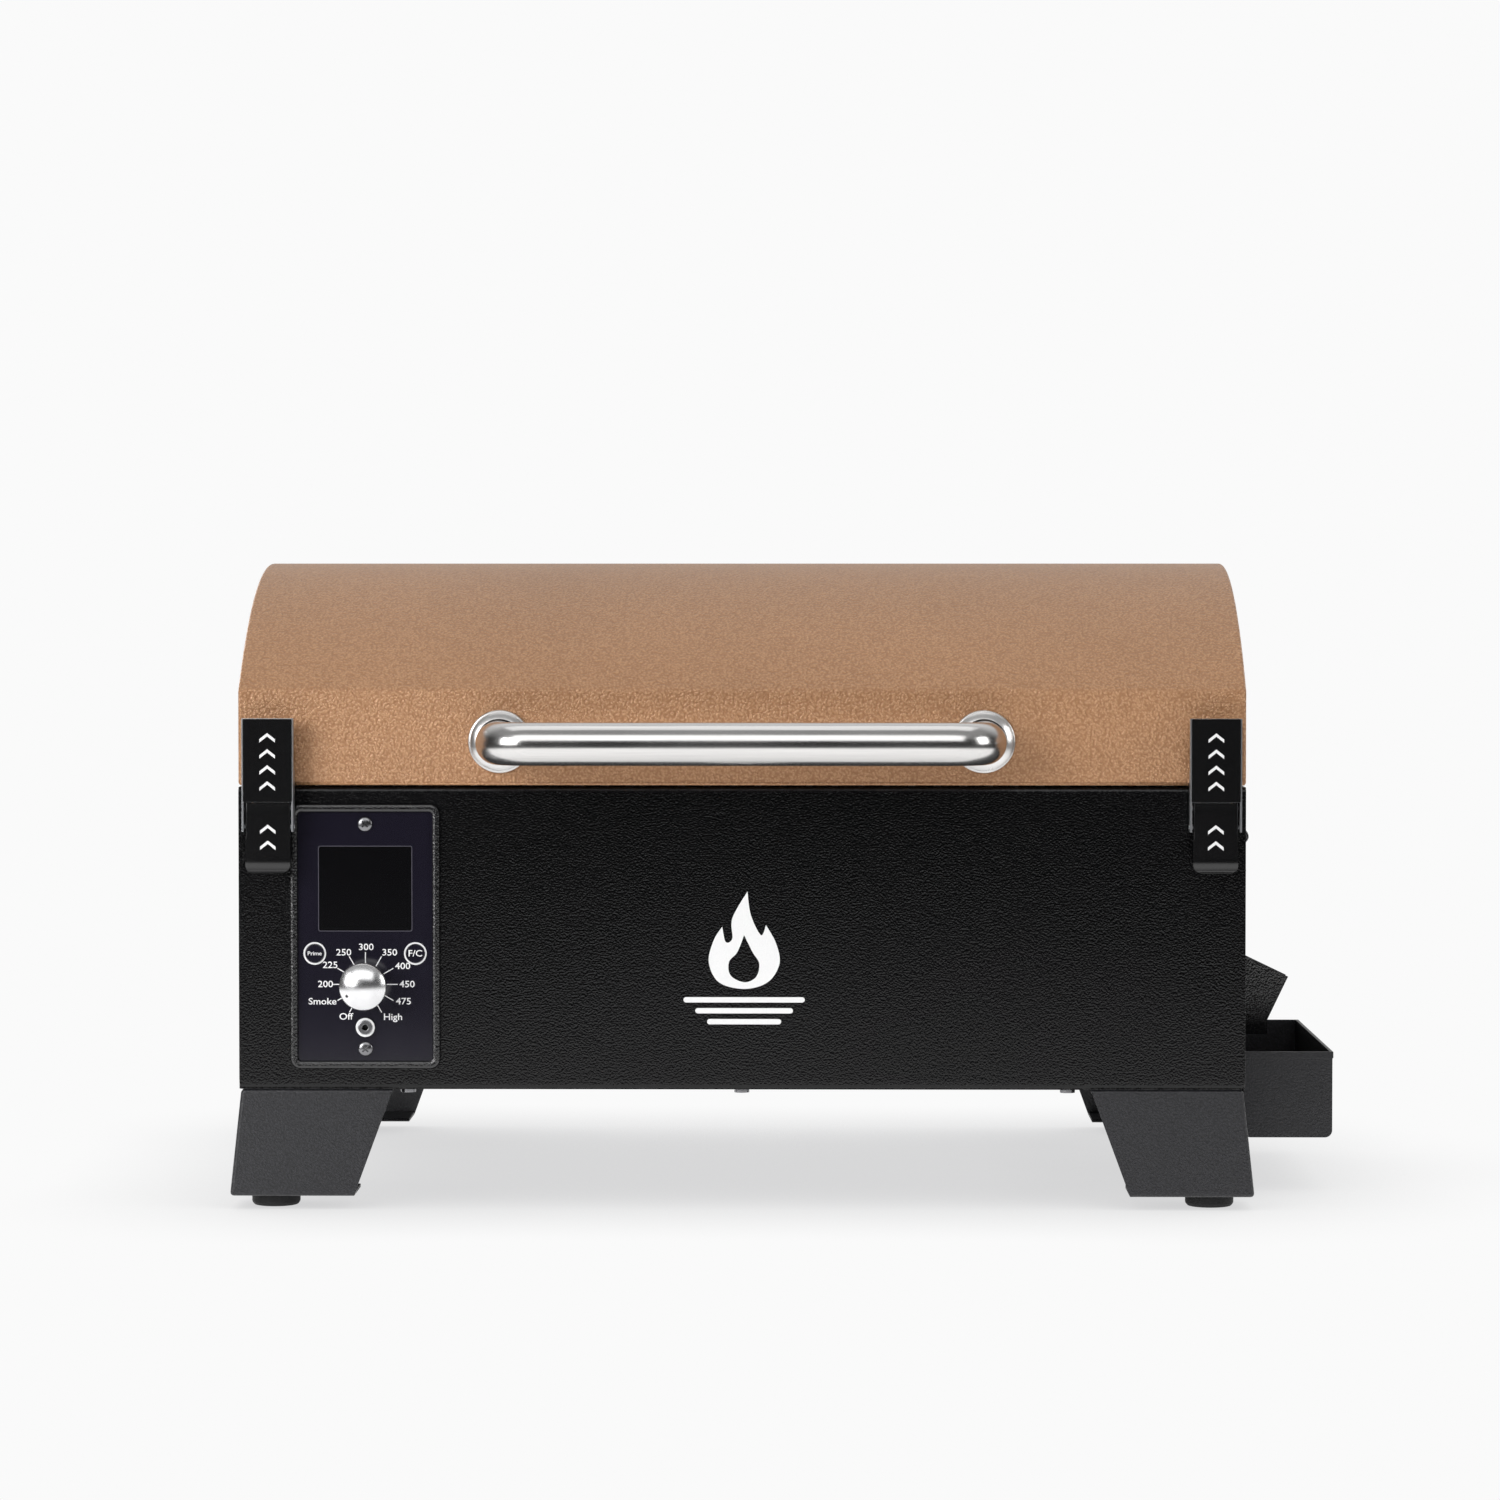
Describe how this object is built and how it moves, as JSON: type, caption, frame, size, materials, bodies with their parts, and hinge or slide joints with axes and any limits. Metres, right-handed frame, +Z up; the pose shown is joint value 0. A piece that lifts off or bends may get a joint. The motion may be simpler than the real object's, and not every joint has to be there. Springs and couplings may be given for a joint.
{
  "type": "pellet smoker grill",
  "caption": "Table-top pellet smoker grill with a hinged arched copper lid, tube handle, toggle latches, dial control panel, splayed legs, rear hopper and a slide-out grease bucket.",
  "frame": {"origin": "centre of the whole grill's footprint, on the surface that its feet stand on", "axes": "+X to the right seen from the front, +Y from the front to the rear, +Z up"},
  "size_m": [0.674, 0.5336, 0.3849],
  "materials": {
    "body_black": "black hammertone powder coat",
    "enamel": "heat-proof black enamel",
    "leg_black": "satin black powder coat",
    "rubber": "matte rubber",
    "zinc": "zinc-plated steel",
    "panel_gloss": "glossy dark overlay",
    "display": "dark display window",
    "screw_steel": "stainless steel",
    "black_plastic": "moulded black plastic",
    "board": "green solder mask",
    "bright_steel": "brushed stainless steel",
    "copper_paint": "copper hammertone powder coat",
    "latch_black": "satin black",
    "chrome": "polished chrome",
    "button_white": "glossy dark key",
    "grate_enamel": "porcelain enamel",
    "decal": "pale printed mark"
  },
  "bodies": {
    "root": {"front_panel": "body_black", "left_side_panel": "body_black", "right_side_panel": "body_black", "rear_panel": "body_black", "bottom_pan": "body_black", "hopper_divider": "body_black", "firebox_liner": "enamel", "front_left_leg": "leg_black", "front_right_leg": "leg_black", "rear_left_leg": "leg_black", "rear_right_leg": "leg_black", "rubber_feet": "rubber", "cabinet_fasteners": "zinc", "control_bezel": "body_black", "control_plate": "panel_gloss", "display_window": "display", "control_screws": "screw_steel", "control_box": "black_plastic", "circuit_board": "board", "probe_jack": "screw_steel", "hopper_bin": "zinc", "hopper_guard": "zinc", "auger_tube": "zinc", "auger_bushing": "bright_steel", "auger_motor": "zinc", "burn_pot": "zinc", "igniter_rod": "bright_steel", "fan_housing": "black_plastic", "temperature_probe": "bright_steel", "flame_broiler_plate": "enamel", "drip_chute": "enamel", "bucket_bracket": "body_black", "cord_gland": "rubber", "latch_bases": "zinc", "bail_brackets": "screw_steel", "lid_hinge_leaves": "zinc", "hopper_hinge_leaves": "zinc"},
    "lid": {"lid_shell": "copper_paint", "lid_ends": "copper_paint", "lid_handle": "bright_steel", "handle_bezels": "bright_steel", "handle_screws": "zinc", "latch_keepers": "zinc", "lid_hinge_straps": "zinc"},
    "hopper_lid": {"hopper_lid": "body_black", "hopper_lid_handle": "bright_steel"},
    "left_latch_lever": {"left_latch_lever": "latch_black"},
    "left_latch_claw": {"left_latch_claw": "latch_black"},
    "right_latch_lever": {"right_latch_lever": "latch_black"},
    "right_latch_claw": {"right_latch_claw": "latch_black"},
    "left_bail": {"left_bail": "bright_steel"},
    "right_bail": {"right_bail": "bright_steel"},
    "control_knob": {"control_knob": "chrome"},
    "prime_button": {"prime_button": "button_white"},
    "unit_button": {"unit_button": "button_white"},
    "auger": {"auger": "bright_steel"},
    "fan_rotor": {"fan_rotor": "black_plastic"},
    "broiler_slider": {"broiler_slider": "zinc"},
    "cooking_grate": {"cooking_grate": "grate_enamel"},
    "grease_bucket": {"grease_bucket": "leg_black"}
  },
  "joints": [
    {"name": "lid_hinge", "type": "hinge", "parent": "root", "child": "lid", "pos_m": [-0.024, 0.12685, 0.35], "axis": [-1, 0, 0], "range_deg": [0, 95]},
    {"name": "hopper_lid_hinge", "type": "hinge", "parent": "root", "child": "hopper_lid", "pos_m": [-0.024, 0.25685, 0.346], "axis": [-1, 0, 0], "range_deg": [0, 100]},
    {"name": "left_lever_hinge", "type": "hinge", "parent": "root", "child": "left_latch_lever", "pos_m": [-0.304, -0.21515, 0.24], "axis": [-1, 0, 0], "range_deg": [0, 110]},
    {"name": "left_claw_hinge", "type": "hinge", "parent": "left_latch_lever", "child": "left_latch_claw", "pos_m": [-0.304, -0.21615, 0.229], "axis": [-1, 0, 0], "range_deg": [-125.4, 0]},
    {"name": "left_bail_hinge", "type": "hinge", "parent": "root", "child": "left_bail", "pos_m": [-0.331, -0.01215, 0.216], "axis": [0, 1, 0], "range_deg": [0, 100]},
    {"name": "right_lever_hinge", "type": "hinge", "parent": "root", "child": "right_latch_lever", "pos_m": [0.256, -0.21515, 0.24], "axis": [-1, 0, 0], "range_deg": [0, 110]},
    {"name": "right_claw_hinge", "type": "hinge", "parent": "right_latch_lever", "child": "right_latch_claw", "pos_m": [0.256, -0.21615, 0.229], "axis": [-1, 0, 0], "range_deg": [-125.4, 0]},
    {"name": "right_bail_hinge", "type": "hinge", "parent": "root", "child": "right_bail", "pos_m": [0.283, -0.01215, 0.216], "axis": [0, -1, 0], "range_deg": [0, 100]},
    {"name": "knob_turn", "type": "hinge", "parent": "root", "child": "control_knob", "pos_m": [-0.2475, -0.21715, 0.1346], "axis": [0, 1, 0], "range_deg": [-30, 270]},
    {"name": "prime_press", "type": "slide", "parent": "root", "child": "prime_button", "axis": [0, 1, 0], "range_m": [0, 0.001], "stiffness_N_per_m": 200},
    {"name": "unit_press", "type": "slide", "parent": "root", "child": "unit_button", "axis": [0, 1, 0], "range_m": [0, 0.001], "stiffness_N_per_m": 200},
    {"name": "auger_turn", "type": "hinge", "parent": "root", "child": "auger", "pos_m": [-0.024, 0.09285, 0.13], "axis": [0, 1, 0], "continuous": true},
    {"name": "fan_turn", "type": "hinge", "parent": "root", "child": "fan_rotor", "pos_m": [0.086, 0.14285, 0.122], "axis": [0, 1, 0], "continuous": true},
    {"name": "broiler_slide", "type": "slide", "parent": "root", "child": "broiler_slider", "axis": [0.9954, 0, -0.0958], "range_m": [0, 0.06]},
    {"name": "grate_lift", "type": "slide", "parent": "root", "child": "cooking_grate", "axis": [0, 0, 1], "range_m": [0, 0.05]},
    {"name": "bucket_slide", "type": "slide", "parent": "root", "child": "grease_bucket", "axis": [0, -1, 0], "range_m": [0, 0.2]}
  ],
  "couplings": [
    {"joint": "left_claw_hinge", "follows": "left_lever_hinge", "ratio": -1.14},
    {"joint": "right_claw_hinge", "follows": "right_lever_hinge", "ratio": -1.14}
  ]
}
